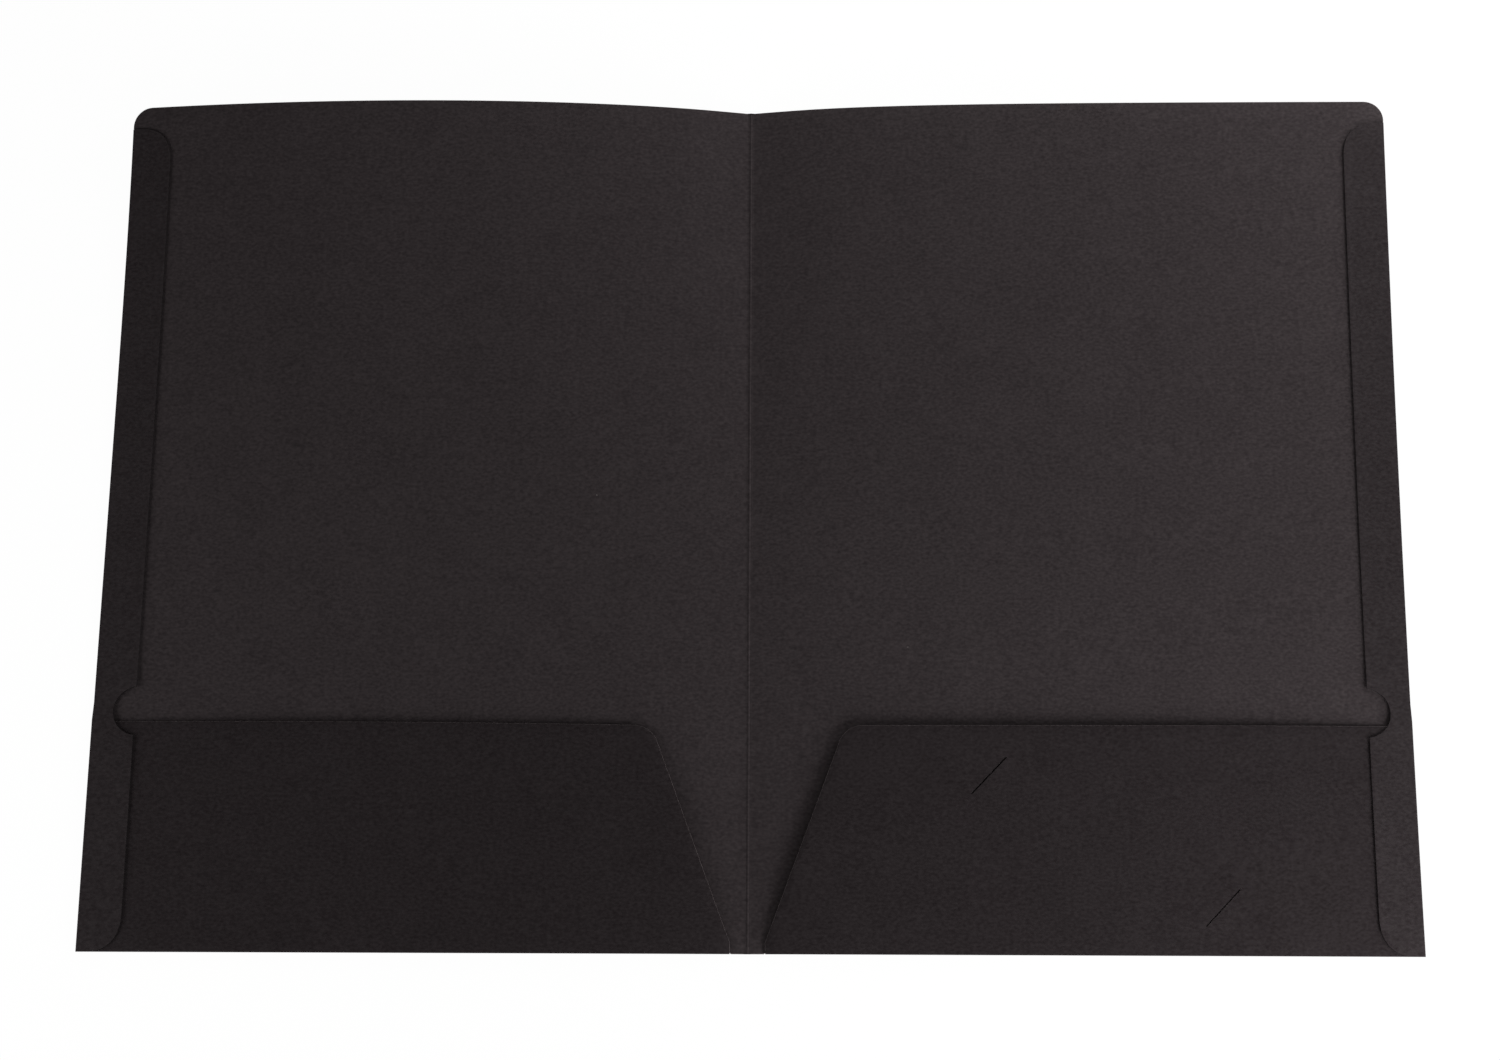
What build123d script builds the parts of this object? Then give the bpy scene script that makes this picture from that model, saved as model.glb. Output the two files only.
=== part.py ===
"""A two pocket folder of thin board, lying open and flat with its pockets up.

The folder is one die-cut blank that is creased, folded and glued. Each flat panel of the blank between
its folds is a piece here, each fold is a rolled strip, and the glue lines are thin films.
Millimetres. The origin is under the middle of the spine, +X to the right, +Y to the top edge, +Z up.
"""
import os
from math import atan2, cos, degrees, hypot, radians, sin

from build123d import *

# Board and overall size
cover_width = 228.6  # from the middle of the spine to the outer fold
folder_height = 304.8
board = 0.35
corner_radius = 7.0

# Spine, a raised crease that the covers turn about
crease_radius = 0.55
crease_rise = 0.4  # from the covers' inner faces up to the middle of the crease
crease_clearance = 0.05
crease_gap = 0.2  # between the covers' edges, under the crease

# Pockets, folded up from the bottom edge
pocket_height = 79.4
pocket_inner_end = 6.0  # from the middle of the spine to the end of the bottom fold
pocket_end_rise = 3.5
pocket_corner_reach = 33.5  # from the middle of the spine to the sharp corner before it is rounded
pocket_corner_radius = 8.0
pocket_side_inset = 3.0
pocket_gap = 0.1

# Free corner of each pocket, which bends up along a diagonal
mouth_gape_angle = 6.0
mouth_seam = 0.1

# Edge flaps, folded in over the outer sides and the pockets' ends
flap_width = 15.9
flap_top_inset = 8.0
flap_top_radius = 9.0
flap_bottom_radius = 11.9
flap_bottom_trim = 0.7  # what the bottom edge cuts off the rounded end
flap_ramp = 6.0  # length in which the flap steps down from the pocket to the cover
notch_radius = 8.4
notch_rise = 4.0  # from the pocket's top edge up to the middle of the thumb notch

# Glue films under the flaps
glue_film = 0.1
glue_width = 8.0
glue_margin = 2.0

# Two slits for the corners of a business card, in the right pocket
slit_length = 17.7
slit_width = 0.5
slit_angle = 46.7
upper_slit_reach = 82.6
upper_slit_drop = 18.8
lower_slit_reach = 161.3
lower_slit_rise = 15.3

# Heights of the layers above the table
pocket_floor = board + pocket_gap
pocket_face = pocket_floor + board
flap_over_pocket = pocket_face + glue_film
flap_over_cover = board + glue_film
stack_height = flap_over_pocket + board
crease_axis = board + crease_rise

# Outer radius of each fold; the flat panels end on a fold's middle line
pocket_fold_radius = pocket_face / 2
low_fold_radius = (flap_over_cover + board) / 2
high_fold_radius = stack_height / 2

# Edges in plan, on the right half
top = folder_height / 2
bottom = -top
panel_bottom = bottom + pocket_fold_radius
panel_side = cover_width - high_fold_radius
panel_height = top - panel_bottom
pocket_top = bottom + pocket_height
pocket_side = cover_width - pocket_side_inset
flap_inner = cover_width - flap_width
flap_top = top - flap_top_inset
ramp_top = pocket_top + flap_ramp
notch_middle = pocket_top + notch_rise
glue_middle = (flap_inner + panel_side) / 2

# The diagonal that a pocket's free corner bends on, from its inner end to the flap
bend_start = (pocket_inner_end, bottom + pocket_end_rise)
bend_end = (flap_inner, pocket_top)
bend_run = bend_end[0] - bend_start[0]
bend_rise = bend_end[1] - bend_start[1]
bend_length = hypot(bend_run, bend_rise)
bend_angle = degrees(atan2(bend_rise, bend_run))

# Middles of the card slits
upper_slit = (upper_slit_reach, pocket_top - upper_slit_drop)
lower_slit = (lower_slit_reach, bottom + lower_slit_rise)

sides = {"left": -1, "right": 1}


def half_ring(side, middle, radius):
    """Section of a fold: the board turned back on itself round a middle line, towards the given side."""
    height = 2 * radius
    crown = middle + side * radius
    hollow = crown - side * board
    with BuildSketch() as ring:
        with BuildLine():
            ThreePointArc((middle, 0), (crown, radius), (middle, height))
            Line((middle, height), (middle, height - board))
            ThreePointArc((middle, height - board), (hollow, radius), (middle, board))
            Line((middle, board), (middle, 0))
        make_face()
    return ring.sketch


def plan_rectangle(side, inner, outer, low, high):
    """Rectangle in plan from its distances to the spine and its lower and upper edges."""
    with Locations((side * (inner + outer) / 2, (low + high) / 2)):
        Rectangle(outer - inner, high - low)


def along_bend(point):
    """A point of the right pocket's blank, in lengths along the diagonal and square to it."""
    run = point[0] - bend_start[0]
    rise = point[1] - bend_start[1]
    turn = radians(bend_angle)
    return (run * cos(turn) + rise * sin(turn), rise * cos(turn) - run * sin(turn))


def card_slit(middle, angle):
    """Cuts a round-ended slit through the open sketch."""
    with Locations(middle):
        SlotOverall(slit_length, slit_width, rotation=angle, mode=Mode.SUBTRACT)


def cover_panel(side):
    """Flat cover, rounded at its outer top corner and hollowed along the crease."""
    with BuildPart() as panel:
        with BuildSketch():
            plan_rectangle(side, crease_gap / 2, panel_side, panel_bottom, top)
            upper_corners = vertices().group_by(Axis.Y)[-1]
            fillet(upper_corners.sort_by_distance((0, top))[-1], corner_radius)
        extrude(amount=board)
        with BuildSketch(Plane.XZ):
            with Locations((0, crease_axis)):
                Circle(crease_radius + crease_clearance)
        extrude(amount=folder_height, both=True, mode=Mode.SUBTRACT)
    return panel.part


def spine_crease():
    """Rolled ridge of board along the spine, from the bottom edge to the top edge."""
    with BuildPart() as crease:
        with BuildSketch(Plane.XZ.offset(-top)):
            with Locations((0, crease_axis)):
                Circle(crease_radius)
        extrude(amount=panel_height)
    return crease.part


def edge_fold(side):
    """Rolled fold along the outer edge, wide round the pocket and tight above it."""
    stations = {
        panel_bottom: high_fold_radius,
        pocket_top: high_fold_radius,
        ramp_top: low_fold_radius,
        flap_top: low_fold_radius,
    }
    with BuildPart() as fold:
        for height, radius in stations.items():
            with BuildSketch(Plane.XZ.offset(-height)):
                add(half_ring(side, side * panel_side, radius))
        loft(ruled=True)
    return fold.part


def edge_flap(side):
    """Flap with rounded inner corners and a thumb notch, stepped from the pocket down to the cover."""
    steps = [
        (panel_bottom, flap_over_pocket),
        (pocket_top, flap_over_pocket),
        (ramp_top, flap_over_cover),
        (flap_top, flap_over_cover),
    ]
    upper_steps = [(along, height + board) for along, height in reversed(steps)]
    with BuildPart() as flap:
        with BuildSketch():
            plan_rectangle(side, flap_inner, panel_side, panel_bottom - flap_bottom_trim, flap_top)
            fillet(vertices().group_by(Axis.Y)[-1].sort_by_distance((0, flap_top))[0], flap_top_radius)
            fillet(vertices().group_by(Axis.Y)[0].sort_by_distance((0, bottom))[0], flap_bottom_radius)
            with Locations((side * flap_inner, notch_middle)):
                Circle(notch_radius, mode=Mode.SUBTRACT)
        extrude(amount=stack_height)
        with BuildSketch(Plane.YZ):
            with BuildLine():
                Polyline(*steps, *upper_steps, close=True)
            make_face()
        extrude(amount=cover_width, both=True, mode=Mode.INTERSECT)
    return flap.part


def flap_glue(side):
    """Glue film that holds the flap to the cover, above the step."""
    with BuildPart() as film:
        with BuildSketch(Plane.XY.offset(board)):
            low = notch_middle + notch_radius + glue_margin
            high = flap_top - flap_top_radius
            plan_rectangle(side, glue_middle - glue_width / 2, glue_middle + glue_width / 2, low, high)
        extrude(amount=glue_film)
    return film.part


def pocket_glue(side):
    """Glue film that holds the flap to the pocket, below the thumb notch."""
    with BuildPart() as film:
        with BuildSketch(Plane.XY.offset(pocket_face)):
            low = panel_bottom + flap_bottom_radius
            high = notch_middle - notch_radius - glue_margin
            plan_rectangle(side, glue_middle - glue_width / 2, glue_middle + glue_width / 2, low, high)
        extrude(amount=glue_film)
    return film.part


def pocket_fold(side):
    """Rolled fold along the bottom edge, where the pocket turns up from the cover."""
    with BuildPart() as fold:
        with BuildSketch(Plane.YZ.offset(side * pocket_inner_end)):
            add(half_ring(-1, panel_bottom, pocket_fold_radius))
        extrude(amount=side * (pocket_side - pocket_inner_end))
    return fold.part


def pocket(side):
    """Held part of the pocket, from its bottom fold and its glued end up to the diagonal."""
    corners = [
        (pocket_inner_end, panel_bottom),
        bend_start,
        bend_end,
        (pocket_side, pocket_top),
        (pocket_side, panel_bottom),
    ]
    with BuildPart() as sheet:
        with BuildSketch(Plane.XY.offset(pocket_floor)):
            with BuildLine():
                Polyline(*[(side * reach, height) for reach, height in corners], close=True)
            make_face()
            if side > 0:
                card_slit(lower_slit, slit_angle)
        extrude(amount=board)
    return sheet.part


def pocket_corner(side):
    """Free corner of the pocket, bent up a little along the diagonal so that the mouth gapes."""
    gape = radians(mouth_gape_angle)
    turn = radians(bend_angle)
    raised = Plane(
        origin=(side * bend_start[0], bend_start[1], pocket_face),
        x_dir=(side * bend_run, bend_rise, 0),
        z_dir=(side * sin(gape) * sin(turn), -sin(gape) * cos(turn), cos(gape)),
    )
    along, across = along_bend((pocket_corner_reach, pocket_top))
    sharp_corner = (along, side * across)
    with BuildPart() as sheet:
        with BuildSketch(raised):
            with BuildLine():
                Polyline((0, 0), (bend_length, 0), sharp_corner, close=True)
            make_face()
            fillet(vertices().sort_by_distance(sharp_corner)[0], pocket_corner_radius)
            with Locations((bend_length / 2, 0)):
                Rectangle(bend_length, 2 * mouth_seam, mode=Mode.SUBTRACT)
            if side > 0:
                card_slit(along_bend(upper_slit), slit_angle - bend_angle)
        extrude(amount=-board)
    return sheet.part


makers = {
    "cover_panel": cover_panel,
    "edge_fold": edge_fold,
    "edge_flap": edge_flap,
    "flap_glue": flap_glue,
    "pocket_glue": pocket_glue,
    "pocket_fold": pocket_fold,
    "pocket": pocket,
    "pocket_corner": pocket_corner,
}

os.makedirs("parts", exist_ok=True)
pieces = {"spine_crease": spine_crease()}
for side_name, side_sign in sides.items():
    for piece_name, make in makers.items():
        pieces[f"{side_name}_{piece_name}"] = make(side_sign)
for node, piece in pieces.items():
    piece.label = node
    export_step(piece, f"parts/{node}.step")
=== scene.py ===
"""Looks of a black two pocket folder lying open: board sheets, folds, glue films, light and camera.

Metres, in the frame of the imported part: the origin is under the middle of the spine, +X to the right,
+Y to the top edge and +Z up. The folder is one die-cut blank of board, so every sheet is the same stock.
"""
from math import asin, exp, pi, radians, tan

import bmesh
import bpy
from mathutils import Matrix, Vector


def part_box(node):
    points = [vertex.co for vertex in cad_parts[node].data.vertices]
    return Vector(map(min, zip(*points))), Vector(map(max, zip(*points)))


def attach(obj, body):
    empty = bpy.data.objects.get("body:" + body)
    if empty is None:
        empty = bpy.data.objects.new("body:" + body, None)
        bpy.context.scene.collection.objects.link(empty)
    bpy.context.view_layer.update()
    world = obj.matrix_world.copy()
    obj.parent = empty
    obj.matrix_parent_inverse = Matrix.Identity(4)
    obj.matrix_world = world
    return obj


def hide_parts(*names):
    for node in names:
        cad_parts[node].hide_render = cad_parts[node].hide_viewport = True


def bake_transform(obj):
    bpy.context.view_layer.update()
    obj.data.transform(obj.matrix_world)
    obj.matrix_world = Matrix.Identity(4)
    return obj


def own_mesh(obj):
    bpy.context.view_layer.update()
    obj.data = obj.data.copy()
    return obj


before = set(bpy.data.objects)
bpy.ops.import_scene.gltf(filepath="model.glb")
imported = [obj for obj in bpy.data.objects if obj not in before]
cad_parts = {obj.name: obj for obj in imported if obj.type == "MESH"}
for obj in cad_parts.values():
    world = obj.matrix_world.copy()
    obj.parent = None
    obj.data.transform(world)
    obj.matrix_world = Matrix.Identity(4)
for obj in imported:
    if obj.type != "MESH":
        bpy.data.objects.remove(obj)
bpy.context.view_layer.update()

# Sizes of the board and its folds
mm = 0.001
near = 0.01 * mm  # places that lie closer than this are one place
merge_reach = near / 10
board = 0.35 * mm
corner_radius = 7.0 * mm
spine_half = 1.2 * mm
spine_spare = 0.5 * mm  # strip past a cover's seam with the spine, cut off again with its worn edge
ridge_half = 0.36 * mm
ridge_rise = 0.18 * mm
flap_top_radius = 12.0 * mm
flap_bottom_radius = 12.5 * mm
flap_bottom_trim = 0.25 * mm  # what the bottom edge cuts off the rounded end
flap_ramp = 6.0 * mm  # length in which the flap steps down from the pocket to the cover
notch_radius = 8.4 * mm
notch_rise = 3.0 * mm  # from the pocket's top edge up to the middle of the thumb notch
pocket_end_rise = 3.5 * mm
pocket_corner_reach = 33.5 * mm  # from the middle of the spine to the corner before it is rounded
pocket_corner_radius = 8.0 * mm
slit_length = 17.7 * mm
slit_width = 0.45 * mm
slit_end_radius = 0.45 * slit_width
slit_angle = radians(46.7)
glue_corner = 2.0 * mm
edge_softness = 0.15 * mm
flap_softness = 0.05 * mm
cutter_depth = 20 * mm

# Angles and steps that the shapes are made with
sharp_angle = radians(60)  # edges that turn by more than this are rounded over
smooth_angle = radians(30)  # edges that turn by less than this are shaded smooth
facing_down = -0.5  # a face whose normal points lower than this faces the table
arc_steps = 10
glue_corner_steps = 5
slit_end_steps = 3
wear_steps = 2
notch_sides = 96

# Places that the solids give
panel_low, panel_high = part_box("right_cover_panel")
flap_low, flap_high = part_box("right_edge_flap")
pocket_low, pocket_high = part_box("right_pocket")
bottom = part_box("right_pocket_fold")[0].y
cover_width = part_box("right_edge_fold")[1].x
panel_side = panel_high.x
panel_bottom = panel_low.y
top = panel_high.y
flap_inner = flap_low.x
flap_top = flap_high.y
flap_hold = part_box("right_flap_glue")[0].x
pocket_inner = pocket_low.x
pocket_side = pocket_high.x
pocket_top = pocket_high.y
ramp_top = pocket_top + flap_ramp

# Middles of the two card slits in the right pocket
upper_slit = (82.6 * mm, pocket_top - 17.6 * mm)
lower_slit = (161.3 * mm, panel_bottom + 16.0 * mm)

# Heights of the middle of each layer of board
cover_middle = board / 2
pocket_middle = (pocket_low.z + pocket_high.z) / 2
flap_middle = flap_low.z + board / 2
flap_raised = flap_high.z - board / 2
low_fold_reach = (flap_middle - cover_middle) / 2 + board / 2


# Finishes
def colour(code):
    """Linear colour of an sRGB hex value."""
    levels = [int(code[i : i + 2], 16) / 255 for i in (0, 2, 4)]
    return (*[v / 12.92 if v <= 0.04045 else ((v + 0.055) / 1.055) ** 2.4 for v in levels], 1)


def add_node(tree, kind, inputs=(), **settings):
    """Adds a node with its settings, and sets or links its sockets."""
    node = tree.nodes.new(kind)
    for name, value in settings.items():
        setattr(node, name, value)
    for socket, value in dict(inputs).items():
        if isinstance(value, bpy.types.NodeSocket):
            tree.links.new(value, node.inputs[socket])
        else:
            node.inputs[socket].default_value = value
    return node


def start_finish(name):
    """A material with an empty node tree."""
    finish = bpy.data.materials.new(name)
    finish.use_nodes = True
    finish.node_tree.nodes.clear()
    return finish, finish.node_tree


# Uncoated cover board, dyed black in the pulp and pressed smooth between rollers. To the eye it is a
# matt warm black, a little cloudy where the pulp lay thicker, with fibres drawn along the sheet and a
# few specks. A fibre is about 0.03 mm thick, too fine to show, so fibres are drawn about half a
# millimetre thick.
cloud_spacing = 14 * mm
cloud_share = 0.15
fibre_spacing = 0.9 * mm
fibre_draw = (0.65, 1, 1)
fibre_depth = 0.03 * mm
speck_spacing = 11 * mm
speck_radius = 0.3 * mm
speck_share = 0.12
speck_tone = "4a4645"


def pressed_board(name, dark, pale):
    """Finish of a pressed face, mottled between a dark and a pale tone."""
    finish, tree = start_finish(name)
    place = add_node(tree, "ShaderNodeTexCoord").outputs["Object"]
    clouds = add_node(
        tree, "ShaderNodeTexNoise", {"Vector": place, "Scale": 1 / cloud_spacing, "Detail": 2}
    )
    drawn = add_node(tree, "ShaderNodeMapping", {"Vector": place, "Scale": fibre_draw})
    fibres = add_node(
        tree, "ShaderNodeTexNoise", {"Vector": drawn.outputs[0], "Scale": 1 / fibre_spacing, "Detail": 3}
    )
    felt = add_node(
        tree,
        "ShaderNodeMath",
        {0: clouds.outputs["Fac"], 1: cloud_share, 2: fibres.outputs["Fac"]},
        operation="MULTIPLY_ADD",
    )
    tone = add_node(
        tree, "ShaderNodeMapRange", {"Value": felt.outputs[0], "From Min": 0.335, "From Max": 0.815}
    )
    pulp = add_node(
        tree,
        "ShaderNodeMix",
        {"Factor": tone.outputs[0], "A": colour(dark), "B": colour(pale)},
        data_type="RGBA",
    )
    grains = add_node(tree, "ShaderNodeTexVoronoi", {"Vector": place, "Scale": 1 / speck_spacing})
    near_grain = add_node(
        tree,
        "ShaderNodeMath",
        {0: grains.outputs["Distance"], 1: speck_radius / speck_spacing},
        operation="LESS_THAN",
    )
    chance = add_node(tree, "ShaderNodeSeparateColor", {"Color": grains.outputs["Color"]})
    few = add_node(
        tree, "ShaderNodeMath", {0: chance.outputs["Red"], 1: speck_share}, operation="LESS_THAN"
    )
    speck = add_node(
        tree, "ShaderNodeMath", {0: near_grain.outputs[0], 1: few.outputs[0]}, operation="MULTIPLY"
    )
    specked = add_node(
        tree,
        "ShaderNodeMix",
        {"Factor": speck.outputs[0], "A": pulp.outputs["Result"], "B": colour(speck_tone)},
        data_type="RGBA",
    )
    polish = add_node(
        tree,
        "ShaderNodeMapRange",
        {"Value": clouds.outputs["Fac"], "From Min": 0.3, "From Max": 0.7, "To Min": 0.92, "To Max": 0.88},
    )
    bump = add_node(
        tree, "ShaderNodeBump", {"Height": fibres.outputs["Fac"], "Strength": 0.3, "Distance": fibre_depth}
    )
    shader = add_node(
        tree,
        "ShaderNodeBsdfPrincipled",
        {
            "Base Color": specked.outputs["Result"],
            "Roughness": polish.outputs[0],
            "IOR": 1.5,
            "Specular IOR Level": 0.03,
            "Normal": bump.outputs[0],
        },
    )
    add_node(tree, "ShaderNodeOutputMaterial", {"Surface": shader.outputs[0]})
    return finish


# The same board where the die cut it, rough with torn fibres. It is painted paler than the pressed
# face, a painted highlight for the light that catches the cut edges, or near black on the flaps, a
# painted shade line along them. Torn fibre ends are drawn about a quarter of a millimetre wide,
# coarser than they are, so that they show.
torn_spacing = 0.5 * mm
torn_depth = 0.05 * mm


def cut_board(name, dark, pale):
    """Finish of a cut edge, mottled between a dark and a pale tone."""
    finish, tree = start_finish(name)
    place = add_node(tree, "ShaderNodeTexCoord").outputs["Object"]
    ends = add_node(tree, "ShaderNodeTexNoise", {"Vector": place, "Scale": 1 / torn_spacing, "Detail": 2})
    tone = add_node(
        tree, "ShaderNodeMapRange", {"Value": ends.outputs["Fac"], "From Min": 0.3, "From Max": 0.7}
    )
    torn = add_node(
        tree,
        "ShaderNodeMix",
        {"Factor": tone.outputs[0], "A": colour(dark), "B": colour(pale)},
        data_type="RGBA",
    )
    bump = add_node(
        tree, "ShaderNodeBump", {"Height": ends.outputs["Fac"], "Strength": 0.4, "Distance": torn_depth}
    )
    shader = add_node(
        tree,
        "ShaderNodeBsdfPrincipled",
        {
            "Base Color": torn.outputs["Result"],
            "Roughness": 0.98,
            "IOR": 1.5,
            "Specular IOR Level": 0.03,
            "Normal": bump.outputs[0],
        },
    )
    add_node(tree, "ShaderNodeOutputMaterial", {"Surface": shader.outputs[0]})
    return finish


# White wood glue rolled on and dried: a thin milky film with a soft gloss and the streaks of the roller.
streak_spacing = 1.5 * mm
streak_draw = (1, 0.15, 1)
streak_depth = 0.03 * mm


def dried_glue(name, dark, pale):
    """Finish of a glue film, streaked between a dark and a pale tone."""
    finish, tree = start_finish(name)
    place = add_node(tree, "ShaderNodeTexCoord").outputs["Object"]
    drawn = add_node(tree, "ShaderNodeMapping", {"Vector": place, "Scale": streak_draw})
    streaks = add_node(
        tree, "ShaderNodeTexNoise", {"Vector": drawn.outputs[0], "Scale": 1 / streak_spacing, "Detail": 2}
    )
    film = add_node(
        tree,
        "ShaderNodeMix",
        {"Factor": streaks.outputs["Fac"], "A": colour(dark), "B": colour(pale)},
        data_type="RGBA",
    )
    gloss = add_node(
        tree, "ShaderNodeMapRange", {"Value": streaks.outputs["Fac"], "To Min": 0.35, "To Max": 0.55}
    )
    bump = add_node(
        tree,
        "ShaderNodeBump",
        {"Height": streaks.outputs["Fac"], "Strength": 0.3, "Distance": streak_depth},
    )
    shader = add_node(
        tree,
        "ShaderNodeBsdfPrincipled",
        {
            "Base Color": film.outputs["Result"],
            "Roughness": gloss.outputs[0],
            "IOR": 1.46,
            "Normal": bump.outputs[0],
        },
    )
    add_node(tree, "ShaderNodeOutputMaterial", {"Surface": shader.outputs[0]})
    return finish


# The covers show the inner face of the blank. The flaps and pockets are folded over, so they show the
# outer face, painted darker: in part its own tone, and on the pockets in part painted shade for the shade
# that falls on them. The flaps take a paler copy of it. Their cut edges are painted near black, a painted
# shade line along the flap edges.
inner_face = pressed_board("black_board_inner_face", "242021", "342f30")
# Outer face, in part painted shade: darker than the inner face, so that the pockets lie darker
outer_face_with_painted_shade = pressed_board("black_board_outer_face_painted_shade", "1a1617", "272324")
flap_outer_face = pressed_board("black_board_flap_outer_face", "1d191a", "2b2728")
# Painted highlight: the cut edges are painted paler than the board, for the light that catches them
cut_edge_painted_highlight = cut_board("die_cut_board_edge_painted_highlight", "484242", "686161")
# Painted shade: the flaps' cut edges are painted near black, for the shade line along them
flap_edge_painted_shade = cut_board("flap_board_edge_painted_shade", "0a0909", "151313")
glue_film = dried_glue("dried_white_glue", "8f8a7e", "b9b4a6")
cover_finishes = [inner_face, cut_edge_painted_highlight, outer_face_with_painted_shade]
pocket_finishes = [outer_face_with_painted_shade, cut_edge_painted_highlight]
flap_finishes = [flap_outer_face, flap_edge_painted_shade]
glue_finishes = [glue_film]

# Places of the cut edge and of the outer face in these lists
cut_finish = 1
outer_finish = 2


# Hand tools
def only(piece):
    """Makes one object the selected and active one, out of edit mode."""
    if bpy.context.mode != "OBJECT":
        bpy.ops.object.mode_set(mode="OBJECT")
    bpy.ops.object.select_all(action="DESELECT")
    piece.select_set(True)
    bpy.context.view_layer.objects.active = piece


def edit_all(piece):
    """Opens a piece in edit mode with everything selected."""
    only(piece)
    bpy.ops.object.mode_set(mode="EDIT")
    bpy.ops.mesh.select_all(action="SELECT")


def pick(piece, kind, *rules):
    """Selects in edit mode the vertices, edges or faces that lie wholly where one of the rules holds."""
    only(piece)
    bpy.ops.object.mode_set(mode="EDIT")
    bpy.ops.mesh.select_mode(type=kind)
    bpy.ops.mesh.select_all(action="DESELECT")
    mesh = bmesh.from_edit_mesh(piece.data)
    parts = {"VERT": mesh.verts, "EDGE": mesh.edges, "FACE": mesh.faces}[kind]
    for part in parts:
        points = [part] if kind == "VERT" else part.verts
        part.select_set(any(all(rule(point.co) for point in points) for rule in rules))
    bmesh.update_edit_mesh(piece.data)


def start_sheet(name, low, high, height, finishes):
    """Flat middle surface of a sheet, from its corners in plan, with its finishes."""
    bpy.ops.object.select_all(action="DESELECT")
    middle = ((low[0] + high[0]) / 2, (low[1] + high[1]) / 2, height)
    bpy.ops.mesh.primitive_plane_add(size=1, location=middle)
    sheet = bpy.context.object
    sheet.name = name
    sheet.data.name = name
    sheet.scale = (high[0] - low[0], high[1] - low[1], 1)
    bpy.ops.object.transform_apply(location=True, rotation=True, scale=True)
    for finish in finishes:
        sheet.data.materials.append(finish)
    return sheet


def slice_at(piece, place, normal, clear_below=False, cap=False):
    """Cuts a piece by a plane, and where asked takes off what lies below it and closes the cut."""
    edit_all(piece)
    bpy.ops.mesh.bisect(
        plane_co=place, plane_no=normal, threshold=merge_reach, clear_inner=clear_below, use_fill=cap
    )


def round_corner(sheet, corner, reach, steps=arc_steps):
    """Rounds a corner of a flat sheet, from the given distance along both its edges."""
    pick(sheet, "VERT", lambda p: abs(p.x - corner[0]) < near and abs(p.y - corner[1]) < near)
    bpy.ops.mesh.bevel(offset=reach, segments=steps, affect="VERTICES", clamp_overlap=False)


def close_sheet(sheet):
    """Joins what meets in the middle surface and turns its faces one way."""
    edit_all(sheet)
    bpy.ops.mesh.remove_doubles(threshold=merge_reach)
    bpy.ops.mesh.normals_make_consistent(inside=False)


def thicken(sheet, thickness):
    """Gives the middle surface the thickness of its stock."""
    only(sheet)
    bpy.ops.object.modifier_add(type="SOLIDIFY")
    stock = sheet.modifiers[-1]
    stock.thickness = thickness
    stock.offset = 0
    stock.use_even_offset = True
    stock.material_offset_rim = cut_finish
    bpy.ops.object.modifier_apply(modifier=stock.name)


def finish_underside(piece):
    """Gives the outer face's finish to what faces the table."""
    pick(piece, "FACE")
    mesh = bmesh.from_edit_mesh(piece.data)
    for face in mesh.faces:
        face.select_set(face.normal.z < facing_down)
    bmesh.update_edit_mesh(piece.data)
    piece.active_material_index = outer_finish
    bpy.ops.object.material_slot_assign()


def die_cut(piece, cutter):
    """Cuts the cutter's shape out of a piece, and leaves the cut finish on the new faces."""
    edit_all(cutter)
    for finish in piece.data.materials:
        cutter.data.materials.append(finish)
    cutter.active_material_index = cut_finish
    bpy.ops.object.material_slot_assign()
    only(piece)
    bpy.ops.object.modifier_add(type="BOOLEAN")
    knife = piece.modifiers[-1]
    knife.operation = "DIFFERENCE"
    knife.solver = "EXACT"
    knife.object = cutter
    bpy.ops.object.modifier_apply(modifier=knife.name)
    bpy.data.objects.remove(cutter)


def soften_edges(piece, reach):
    """Rounds the cut edges over a little, as the die's pressure and handling leave them."""
    only(piece)
    bpy.ops.object.modifier_add(type="BEVEL")
    wear = piece.modifiers[-1]
    wear.width = reach
    wear.segments = wear_steps
    wear.limit_method = "ANGLE"
    wear.angle_limit = sharp_angle
    wear.material = cut_finish
    bpy.ops.object.modifier_apply(modifier=wear.name)


def divide(piece, columns, rows):
    """Cuts a piece into even columns and rows, so that it can bend smoothly."""
    low = Vector(min(c) for c in zip(*piece.bound_box))
    high = Vector(max(c) for c in zip(*piece.bound_box))
    for normal, count in (((1, 0, 0), columns), ((0, 1, 0), rows)):
        for step in range(1, count):
            slice_at(piece, low.lerp(high, step / count), normal)
    only(piece)


def mirror_copy(piece, name):
    """The left twin of a right piece, with its own mesh."""
    only(piece)
    bpy.ops.object.duplicate(linked=False)
    twin = bpy.context.object
    twin.name = name
    twin.data.name = name
    twin.scale.x = -1
    bpy.ops.object.transform_apply(location=True, rotation=True, scale=True)
    edit_all(twin)
    bpy.ops.mesh.normals_make_consistent(inside=False)
    only(twin)
    return twin


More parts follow.
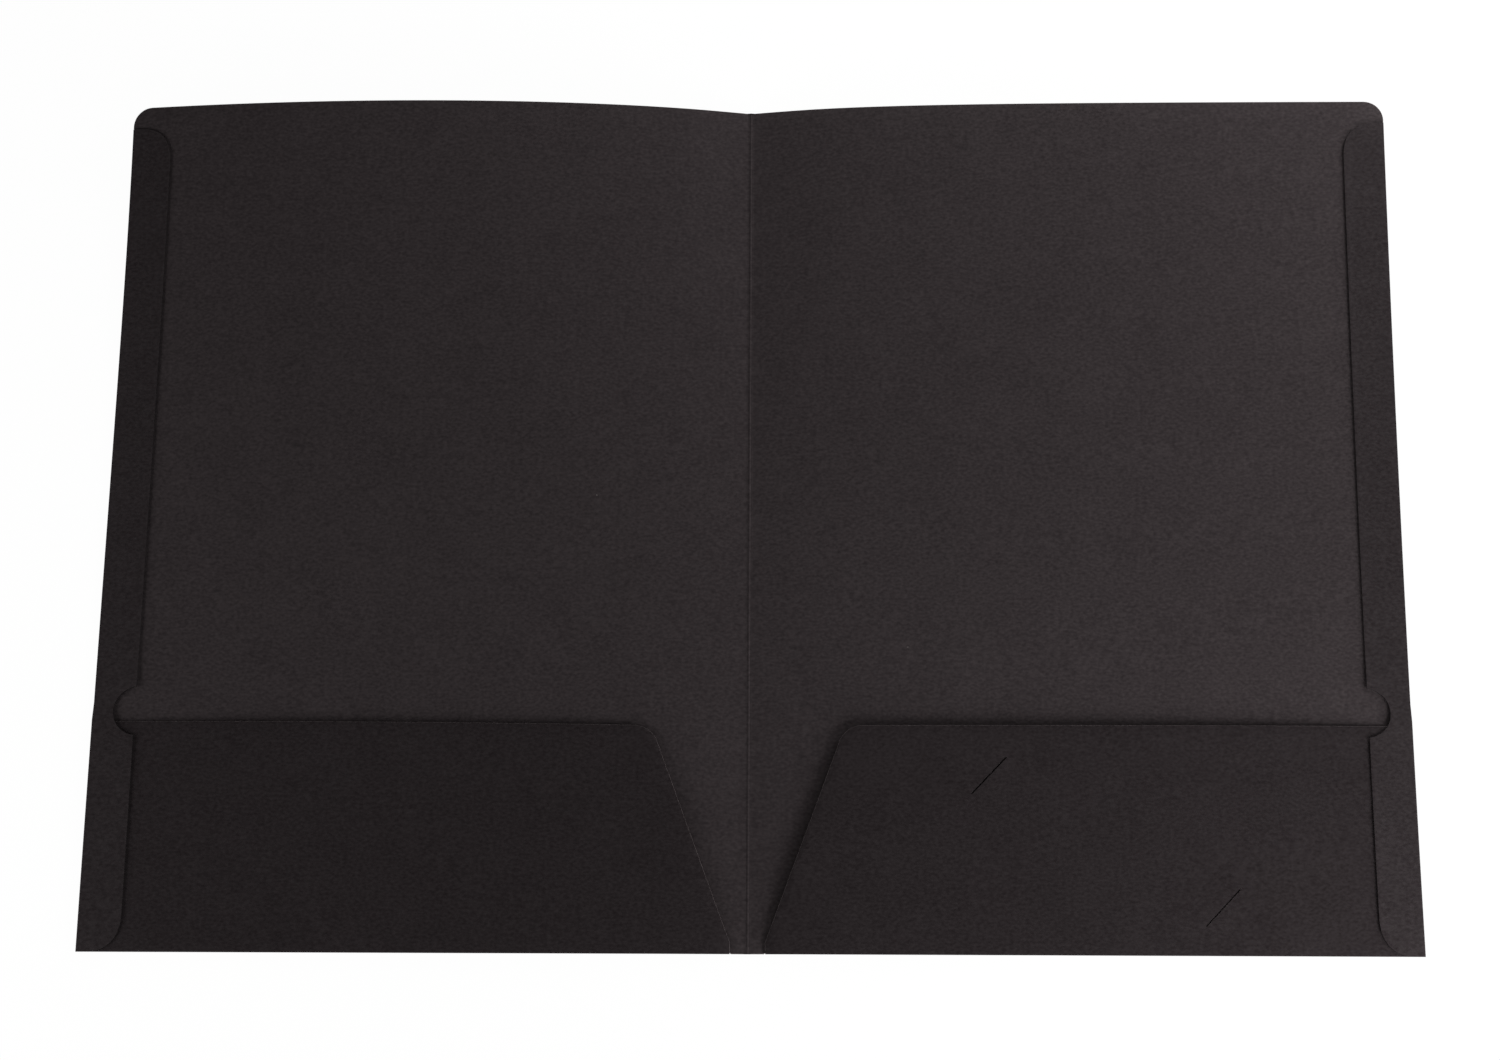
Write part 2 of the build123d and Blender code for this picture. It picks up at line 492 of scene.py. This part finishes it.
# Pieces. Spin turns against the right hand rule, so its axes here point the other way.
def make_cover():
    """Cover, rounded at its outer top corner and set back where the edges fold over."""
    fold_side = panel_side + low_fold_reach
    low = (spine_half - spine_spare, panel_bottom)
    cover = start_sheet("right_cover", low, (fold_side, top), cover_middle, cover_finishes)
    round_corner(cover, (fold_side, top), corner_radius)
    slice_at(cover, (0, flap_top, 0), (0, 1, 0))
    slice_at(cover, (0, flap_top + low_fold_reach, 0), (0, 1, 0))
    pick(cover, "VERT", lambda p: p.x > fold_side - near and p.y < flap_top + near)
    bpy.ops.transform.translate(value=(-low_fold_reach, 0, 0))
    for place in (pocket_inner - low_fold_reach, pocket_inner, pocket_side, pocket_side + low_fold_reach):
        slice_at(cover, (place, 0, 0), (1, 0, 0))
    pick(
        cover,
        "VERT",
        lambda p: p.y < panel_bottom + near and p.x < pocket_inner - near,
        lambda p: p.y < panel_bottom + near and p.x > pocket_side + near,
    )
    bpy.ops.transform.translate(value=(0, bottom - panel_bottom, 0))
    close_sheet(cover)
    thicken(cover, board)
    finish_underside(cover)
    soften_edges(cover, edge_softness)
    slice_at(cover, (spine_half, 0, 0), (1, 0, 0), clear_below=True, cap=True)
    divide(cover, columns=30, rows=40)
    return cover


def make_flap():
    """Edge flap with its rolled fold, stepped down above the pocket, with a thumb notch."""
    low = (flap_inner, bottom - flap_bottom_trim)
    flap = start_sheet("right_flap", low, (panel_side, flap_top), flap_middle, flap_finishes)
    round_corner(flap, (flap_inner, flap_top), flap_top_radius)
    round_corner(flap, low, flap_bottom_radius)
    slice_at(flap, (0, bottom, 0), (0, 1, 0), clear_below=True)
    slice_at(flap, (0, pocket_top, 0), (0, 1, 0))
    slice_at(flap, (0, ramp_top, 0), (0, 1, 0))
    pick(flap, "VERT", lambda p: p.y < pocket_top + near)
    bpy.ops.transform.translate(value=(0, 0, flap_raised - flap_middle))
    for lowest, highest, height in ((bottom, pocket_top, flap_raised), (ramp_top, flap_top, flap_middle)):
        pick(flap, "EDGE", lambda p: p.x > panel_side - near and lowest - near < p.y < highest + near)
        middle = (panel_side, 0, (height + cover_middle) / 2)
        bpy.ops.mesh.spin(steps=arc_steps, angle=pi, center=middle, axis=(0, -1, 0))
    rolled = panel_side - near
    pick(
        flap,
        "EDGE",
        lambda p: p.x > rolled and abs(p.y - pocket_top) < near,
        lambda p: p.x > rolled and abs(p.y - ramp_top) < near,
    )
    bpy.ops.mesh.bridge_edge_loops()
    close_sheet(flap)
    thicken(flap, board)
    notch_middle = (flap_inner, pocket_top + notch_rise, 0)
    bpy.ops.mesh.primitive_cylinder_add(
        vertices=notch_sides, radius=notch_radius, depth=cutter_depth, location=notch_middle
    )
    die_cut(flap, bpy.context.object)
    soften_edges(flap, flap_softness)
    divide(flap, columns=12, rows=44)
    return flap


def make_pocket():
    """Pocket with a slanted end, turned up from the bottom edge round a rolled fold."""
    pocket = start_sheet("right_pocket_sheet", pocket_low, pocket_high, pocket_middle, pocket_finishes)
    slice_at(pocket, (0, panel_bottom + pocket_end_rise, 0), (0, 1, 0))
    pick(pocket, "VERT", lambda p: p.x < pocket_inner + near and p.y > pocket_top - near)
    bpy.ops.transform.translate(value=(pocket_corner_reach - pocket_inner, 0, 0))
    rise = pocket_top - panel_bottom - pocket_end_rise
    lean = asin(rise / Vector((pocket_corner_reach - pocket_inner, rise)).length)
    round_corner(pocket, (pocket_corner_reach, pocket_top), pocket_corner_radius * tan(lean / 2))
    pick(pocket, "EDGE", lambda p: p.y < panel_bottom + near)
    middle = (0, panel_bottom, (pocket_middle + cover_middle) / 2)
    bpy.ops.mesh.spin(steps=arc_steps, angle=pi, center=middle, axis=(-1, 0, 0))
    close_sheet(pocket)
    thicken(pocket, board)
    return pocket


def cut_card_slit(pocket, middle, round_ends):
    """Cuts a slanted slit with round or square ends through the pocket."""
    bpy.ops.object.select_all(action="DESELECT")
    bpy.ops.mesh.primitive_cube_add(size=1)
    blade = bpy.context.object
    blade.scale = (slit_length, slit_width, cutter_depth)
    bpy.ops.object.transform_apply(location=True, rotation=True, scale=True)
    if round_ends:
        pick(blade, "EDGE")
        mesh = bmesh.from_edit_mesh(blade.data)
        for edge in mesh.edges:
            edge.select_set(abs(edge.verts[0].co.z - edge.verts[1].co.z) > near)
        bmesh.update_edit_mesh(blade.data)
        bpy.ops.mesh.bevel(offset=slit_end_radius, segments=slit_end_steps)
        only(blade)
    blade.location = (*middle, 0)
    blade.rotation_euler.z = slit_angle
    bpy.ops.object.transform_apply(location=True, rotation=True, scale=True)
    die_cut(pocket, blade)


def make_glue(name, node):
    """Glue film under a flap, as large as its solid, with rounded corners."""
    low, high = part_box(node)
    film = start_sheet(name, low, high, (low.z + high.z) / 2, glue_finishes)
    for corner in ((low.x, low.y), (low.x, high.y), (high.x, low.y), (high.x, high.y)):
        round_corner(film, corner, glue_corner, glue_corner_steps)
    close_sheet(film)
    thicken(film, high.z - low.z)
    divide(film, columns=2, rows=24)
    return film


def make_spine():
    """Spine, creased to a low ridge on the inside."""
    spine = start_sheet("spine", (-spine_half, bottom), (-ridge_half, top), cover_middle, cover_finishes)
    radius = (ridge_half**2 + ridge_rise**2) / (2 * ridge_rise)
    pick(spine, "EDGE", lambda p: p.x > -ridge_half - near)
    middle = (0, 0, cover_middle + ridge_rise - radius)
    turn = 2 * asin(ridge_half / radius)
    bpy.ops.mesh.spin(steps=arc_steps, angle=turn, center=middle, axis=(0, -1, 0))
    pick(spine, "EDGE", lambda p: p.x > ridge_half - near)
    bpy.ops.mesh.extrude_region_move(TRANSFORM_OT_translate={"value": (spine_half - ridge_half, 0, 0)})
    close_sheet(spine)
    thicken(spine, board)
    finish_underside(spine)
    divide(spine, columns=1, rows=40)
    return spine


spine = make_spine()
right = {
    "cover": make_cover(),
    "flap": make_flap(),
    "pocket_sheet": make_pocket(),
    "flap_glue_film": make_glue("right_flap_glue_film", "right_flap_glue"),
    "pocket_glue_film": make_glue("right_pocket_glue_film", "right_pocket_glue"),
}
left = {kind: mirror_copy(piece, f"left_{kind}") for kind, piece in right.items()}
pockets = (left["pocket_sheet"], right["pocket_sheet"])
for pocket in pockets:
    soften_edges(pocket, edge_softness)
cut_card_slit(right["pocket_sheet"], upper_slit, round_ends=False)
cut_card_slit(right["pocket_sheet"], lower_slit, round_ends=True)
for pocket in pockets:
    divide(pocket, columns=44, rows=18)

# Spring of the board: the pockets' mouths curl up, the flaps stand off beside the glue, and the covers bow
# up towards the top edge. Where the two sides differ, -1 is the left one and 1 the right one.
pocket_lift = {-1: 0.7 * mm, 1: 1.5 * mm}
pocket_hold = 218 * mm  # from the spine to where the flap holds the mouth down
pocket_belly = 2.2 * mm
pocket_draw = {-1: 0.65 * mm, 1: 1.5 * mm}  # how far the curl draws the mouth down
corner_draw = {-1: 1.6 * mm, 1: 0.45 * mm}  # and what it draws the free corner down besides
mouth_evenness = 6  # the higher this power, the further along the mouth keeps its height
mouth_curl = 2.5  # the higher this power, the nearer to the mouth the curl begins
belly_fade = 4  # the higher this power, the sooner the belly ends along the pocket
flap_lift = 0.2 * mm
flap_draw = 0.75 * mm
notch_lift = 0.8 * mm
notch_spring = 11 * mm
left_arch = 11.5 * mm
left_growth = 1.6  # power of the rise towards the top edge
left_corner_lift = 5.6 * mm
right_spring = 8.5 * mm
right_quickness = 4.6  # the higher, the nearer to the spine the cover has sprung up
right_slope = 1.3 * mm
right_growth = 1.85
valley_lift = 1.5 * mm
valley_quickness = 14
cover_sway = {-1: 1.5 * mm, 1: 1.0 * mm}  # how far the bow moves the outer top corner to the right


def pocket_shift(side):
    """Spring of a pocket: its mouth curls up, evenly as far as the flap, and its free end bellies out."""

    def shift(x, y):
        along = min(1, max(0, (side * x - pocket_inner) / (pocket_hold - pocket_inner)))
        up = (y - panel_bottom) / (pocket_top - panel_bottom)
        mouth = pocket_lift[side] * (1 - along**mouth_evenness) * up * abs(up) ** mouth_curl
        belly = pocket_belly * (1 - along) ** belly_fade * 4 * up * (1 - abs(up))
        draw = pocket_draw[side] + corner_draw[side] * (1 - along) ** 2
        return (0, -draw * up, mouth + belly)

    return shift


def flap_shift(x, y):
    """Spring of a flap: its free edge inwards of the glue, and its notch, where no glue holds it."""
    free = max(0, (flap_hold - abs(x)) / (flap_hold - flap_inner))
    reach = max(0, min(1, (panel_side - abs(x)) / (panel_side - flap_inner)))
    bulge = exp(-(((y - pocket_top - notch_rise) / notch_spring) ** 2))
    lift = flap_lift * free * free + notch_lift * bulge * reach
    return (flap_draw * free * (1 if x > 0 else -1), 0, lift)


def left_bow(across, up):
    """Height of the left cover: an arch, with the outer top corner standing up a little."""
    arch = left_arch * 4 * across * (1 - across) * up**left_growth
    return arch + left_corner_lift * across**3 * up**6


def right_bow(across, up):
    """Height of the right cover: it springs up from the spine and goes on rising outwards."""
    spring = right_spring * (1 - exp(-right_quickness * across))
    return (spring + right_slope * across) * up**right_growth


def valley(across):
    """Height to which a cover springs up beside the spine, all along it."""
    return valley_lift * (1 - exp(-valley_quickness * across)) * (1 - across)


def cover_shift(side):
    """Bow of a cover. Past the spine and the bottom edge the moves are turned over, so that the cage
    leaves the spine on the table."""
    bow = left_bow if side < 0 else right_bow

    def shift(x, y):
        across = (side * x - spine_half) / (cover_width - spine_half)
        up = (y - panel_bottom) / (top - panel_bottom)
        height = bow(abs(across), abs(up)) * (1 if up > 0 else -1) + valley(abs(across))
        return (cover_sway[side] * across * up * up, 0, height * (1 if across > 0 else -1))

    return shift


# Cages of control points that bend the pieces, wider than these by a step at each side
cage_steps = 12
cage_points = cage_steps + 3
flap_cage_rows = 60
cage_depth = 40 * mm


def cage_span(side, inner, outer):
    """Ends of a cage that goes one step past what lies between inner and outer, on the given side."""
    step = (outer - inner) / cage_steps
    return sorted((side * (inner - step), side * (outer + step)))


def flex(pieces, across, along, columns, rows, shift):
    """Bends pieces in a cage: shift gives the move of each control point from its place in plan."""
    bpy.ops.object.select_all(action="DESELECT")
    bpy.ops.object.add(type="LATTICE")
    cage = bpy.context.object
    size = Vector((across[1] - across[0], along[1] - along[0], cage_depth))
    cage.location = ((across[0] + across[1]) / 2, (along[0] + along[1]) / 2, 0)
    cage.scale = size
    cage.data.points_u = columns
    cage.data.points_v = rows
    for point in cage.data.points:
        move = shift(cage.location.x + point.co.x * size.x, cage.location.y + point.co.y * size.y)
        point.co_deform = point.co_deform + Vector(m / s for m, s in zip(move, size))
    bpy.context.view_layer.update()
    for piece in pieces:
        only(piece)
        bpy.ops.object.modifier_add(type="LATTICE")
        piece.modifiers[-1].object = cage
        bpy.ops.object.modifier_apply(modifier=piece.modifiers[-1].name)
    bpy.data.objects.remove(cage)


for side, group in ((-1, left), (1, right)):
    across = cage_span(side, pocket_inner, pocket_side)
    along = cage_span(1, panel_bottom, pocket_top)
    flex([group["pocket_sheet"]], across, along, cage_points, cage_points, pocket_shift(side))
    across = cage_span(side, flap_inner, cover_width)
    flex([group["flap"]], across, (bottom, flap_top), cage_points, flap_cage_rows, flap_shift)
    across = cage_span(side, spine_half, cover_width)
    along = cage_span(1, panel_bottom, top)
    flex(group.values(), across, along, cage_points, cage_points, cover_shift(side))

for piece in [spine, *left.values(), *right.values()]:
    only(piece)
    bpy.ops.object.shade_smooth_by_angle(angle=smooth_angle)

# What each piece stands for and rides on
stands_for = {
    "cover": ["cover_panel"],
    "flap": ["edge_flap", "edge_fold"],
    "pocket_sheet": ["pocket", "pocket_corner", "pocket_fold"],
    "flap_glue_film": ["flap_glue"],
    "pocket_glue_film": ["pocket_glue"],
}
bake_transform(spine)
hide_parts("spine_crease")
for side_name, group in (("left", left), ("right", right)):
    for kind, piece in group.items():
        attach(piece, f"{side_name}_cover")
        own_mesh(piece)
        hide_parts(*[f"{side_name}_{node}" for node in stands_for[kind]])


# Floor, light and camera
def add_seen(tree):
    """Adds nodes that give 1 where the camera looks, also in gloss or through glass, and otherwise 0."""
    rays = add_node(tree, "ShaderNodeLightPath").outputs
    seen = rays["Is Camera Ray"]
    for other in ("Is Glossy Ray", "Is Transmission Ray"):
        seen = add_node(tree, "ShaderNodeMath", {0: seen, 1: rays[other]}, operation="MAXIMUM").outputs[0]
    return seen


# Floor of white paper, matt and plain. It is seen white, with a small matt share that keeps a faint
# shadow of the folder. It lies a little under the folder, so that the two share no plane.
floor_width = 6
floor_drop = 0.3 * mm
glow_share = 0.97
white = (1, 1, 1, 1)
bpy.ops.object.select_all(action="DESELECT")
bpy.ops.mesh.primitive_plane_add(size=floor_width, location=(0, 0, -floor_drop))
floor = bpy.context.object
floor.name = "floor"
floor_paper, tree = start_finish("white_paper_floor")
share = add_node(tree, "ShaderNodeMath", {0: add_seen(tree), 1: glow_share}, operation="MULTIPLY")
matt = add_node(tree, "ShaderNodeBsdfDiffuse", {"Color": colour("f4f4f4")})
glow = add_node(tree, "ShaderNodeEmission", {"Color": white, "Strength": 1})
both = add_node(tree, "ShaderNodeMixShader", {0: share.outputs[0], 1: matt.outputs[0], 2: glow.outputs[0]})
add_node(tree, "ShaderNodeOutputMaterial", {"Surface": both.outputs[0]})
floor.data.materials.append(floor_paper)

# Studio with dim walls that is seen white
world = bpy.data.worlds.new("studio")
bpy.context.scene.world = world
world.use_nodes = True
tree = world.node_tree
tree.nodes.clear()
walls = add_node(tree, "ShaderNodeBackground", {"Color": white, "Strength": 0.03})
glow = add_node(tree, "ShaderNodeBackground", {"Color": white, "Strength": 1})
both = add_node(tree, "ShaderNodeMixShader", {0: add_seen(tree), 1: walls.outputs[0], 2: glow.outputs[0]})
add_node(tree, "ShaderNodeOutputWorld", {"Surface": both.outputs[0]})


# Low softboxes all round the folder, strongest in front
def add_softbox(name, place, width, height, power):
    """Oblong softbox that faces the middle of the folder."""
    lamp = bpy.data.lights.new(name, "AREA")
    lamp.shape = "RECTANGLE"
    lamp.size = width
    lamp.size_y = height
    lamp.energy = power
    holder = bpy.data.objects.new(name, lamp)
    bpy.context.scene.collection.objects.link(holder)
    holder.location = place
    holder.rotation_euler = (-Vector(place)).to_track_quat("-Z", "Y").to_euler()


add_softbox("right_softbox", place=(0.39, 0.28, 0.14), width=0.3, height=0.22, power=2.2)
add_softbox("front_right_softbox", place=(0.37, -0.31, 0.14), width=0.3, height=0.22, power=2.8)
add_softbox("left_softbox", place=(-0.63, -0.23, 0.19), width=0.45, height=0.33, power=3.0)
add_softbox("top_softbox", place=(0.0, 0.48, 0.14), width=0.3, height=0.22, power=1.4)
add_softbox("front_softbox", place=(0.0, -0.82, 0.23), width=0.5, height=0.35, power=3.6)

# Camera nearly overhead, a little in front of the folder, as the photograph was taken
camera_place = (12.7 * mm, -177.85 * mm, 764.65 * mm)
camera_turn = (radians(12.74), radians(0.876), radians(0.252))
lens = bpy.data.cameras.new("camera")
lens.lens = 53.24
lens.sensor_width = 36
lens.clip_start = 0.05
camera = bpy.data.objects.new("camera", lens)
bpy.context.scene.collection.objects.link(camera)
camera.location = camera_place
camera.rotation_euler = camera_turn
bpy.context.scene.camera = camera
bpy.context.scene.view_settings.view_transform = "Standard"
